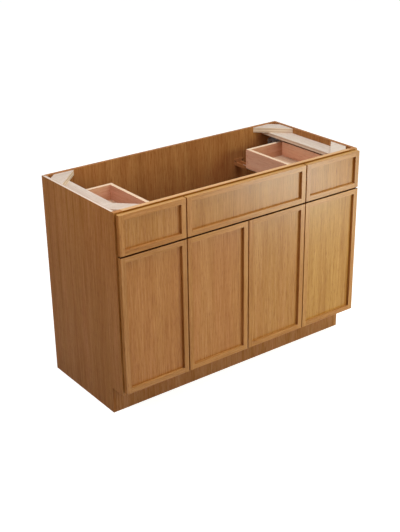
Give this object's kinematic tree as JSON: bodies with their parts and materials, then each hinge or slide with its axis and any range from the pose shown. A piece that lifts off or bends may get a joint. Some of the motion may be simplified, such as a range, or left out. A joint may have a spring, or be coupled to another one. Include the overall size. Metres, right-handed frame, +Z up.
{
  "type": "vanity base cabinet",
  "caption": "framed vanity base cabinet without a top, with slim-framed drawers at both ends, a fixed false front between them and hinged doors over a recessed toe space",
  "frame": {"origin": "on the floor, under the middle of the overall box", "axes": "X runs along the front from left to right, +Y points to the wall behind, +Z points up"},
  "size_m": [1.2192, 0.5554, 0.8763],
  "materials": {
    "face_wood": "honey-stained, satin lacquered hardwood with fine straight grain",
    "case_veneer": "brown stained veneer with a satin lacquer",
    "raw_wood": "bare pale plywood",
    "drawer_wood": "clear-lacquered reddish wood with paler top edges",
    "zinc_steel": "zinc-plated sheet steel",
    "screw_steel": "zinc-plated screws",
    "pale_nylon": "pale moulded nylon",
    "dark_nylon": "dark moulded nylon",
    "bumper_rubber": "clear soft bumper pads"
  },
  "bodies": {
    "cabinet": {"fixing_screws": "screw_steel", "side_panels": "case_veneer", "back_panel": "case_veneer", "deck_panel": "case_veneer", "toe_board": "case_veneer", "frame_end_stiles": "face_wood", "frame_mullions": "face_wood", "frame_top_rail": "face_wood", "frame_bottom_rail": "face_wood", "frame_mid_rails": "face_wood", "top_strips": "raw_wood", "corner_blocks": "raw_wood", "rear_corner_angles": "zinc_steel", "false_front_stiles": "face_wood", "false_front_rails": "face_wood", "false_front_panel": "face_wood", "false_front_clips": "zinc_steel", "hinge_arms": "zinc_steel", "front_bumpers": "bumper_rubber", "slide_cabinet_members": "zinc_steel", "slide_rear_brackets": "dark_nylon"},
    "door_1": {"door_1_stiles": "face_wood", "door_1_rails": "face_wood", "door_1_panel": "face_wood", "door_1_hinge_cups": "zinc_steel"},
    "door_2": {"door_2_stiles": "face_wood", "door_2_rails": "face_wood", "door_2_panel": "face_wood", "door_2_hinge_cups": "zinc_steel"},
    "door_3": {"door_3_stiles": "face_wood", "door_3_rails": "face_wood", "door_3_panel": "face_wood", "door_3_hinge_cups": "zinc_steel"},
    "door_4": {"door_4_stiles": "face_wood", "door_4_rails": "face_wood", "door_4_panel": "face_wood", "door_4_hinge_cups": "zinc_steel"},
    "left_drawer": {"left_drawer_front_stiles": "face_wood", "left_drawer_front_rails": "face_wood", "left_drawer_front_panel": "face_wood", "left_drawer_box_ends": "drawer_wood", "left_drawer_box_sides": "drawer_wood", "left_drawer_box_bottom": "drawer_wood", "left_drawer_front_screws": "screw_steel", "left_drawer_latches": "pale_nylon", "left_slide_drawer_members": "zinc_steel"},
    "left_slide_middles": {"left_slide_middle_members": "zinc_steel", "left_slide_glides": "pale_nylon"},
    "right_drawer": {"right_drawer_front_stiles": "face_wood", "right_drawer_front_rails": "face_wood", "right_drawer_front_panel": "face_wood", "right_drawer_box_ends": "drawer_wood", "right_drawer_box_sides": "drawer_wood", "right_drawer_box_bottom": "drawer_wood", "right_drawer_front_screws": "screw_steel", "right_drawer_latches": "pale_nylon", "right_slide_drawer_members": "zinc_steel"},
    "right_slide_middles": {"right_slide_middle_members": "zinc_steel", "right_slide_glides": "pale_nylon"}
  },
  "joints": [
    {"name": "door_1_hinge", "type": "hinge", "parent": "cabinet", "child": "door_1", "pos_m": [-0.59575, -0.26972, 0.4149], "axis": [0, 0, -1], "range_deg": [0, 105]},
    {"name": "door_2_hinge", "type": "hinge", "parent": "cabinet", "child": "door_2", "pos_m": [-0.29294, -0.26972, 0.4149], "axis": [0, 0, -1], "range_deg": [0, 105]},
    {"name": "door_3_hinge", "type": "hinge", "parent": "cabinet", "child": "door_3", "pos_m": [0.29294, -0.26972, 0.4149], "axis": [0, 0, 1], "range_deg": [0, 105]},
    {"name": "door_4_hinge", "type": "hinge", "parent": "cabinet", "child": "door_4", "pos_m": [0.59575, -0.26972, 0.4149], "axis": [0, 0, 1], "range_deg": [0, 105]},
    {"name": "left_drawer_slide", "type": "slide", "parent": "cabinet", "child": "left_drawer", "axis": [0, -1, 0], "range_m": [0, 0.4]},
    {"name": "left_middle_slide", "type": "slide", "parent": "cabinet", "child": "left_slide_middles", "axis": [0, -1, 0], "range_m": [0, 0.2]},
    {"name": "right_drawer_slide", "type": "slide", "parent": "cabinet", "child": "right_drawer", "axis": [0, -1, 0], "range_m": [0, 0.4]},
    {"name": "right_middle_slide", "type": "slide", "parent": "cabinet", "child": "right_slide_middles", "axis": [0, -1, 0], "range_m": [0, 0.2]}
  ],
  "couplings": [
    {"joint": "left_middle_slide", "follows": "left_drawer_slide", "ratio": 0.5},
    {"joint": "right_middle_slide", "follows": "right_drawer_slide", "ratio": 0.5}
  ]
}
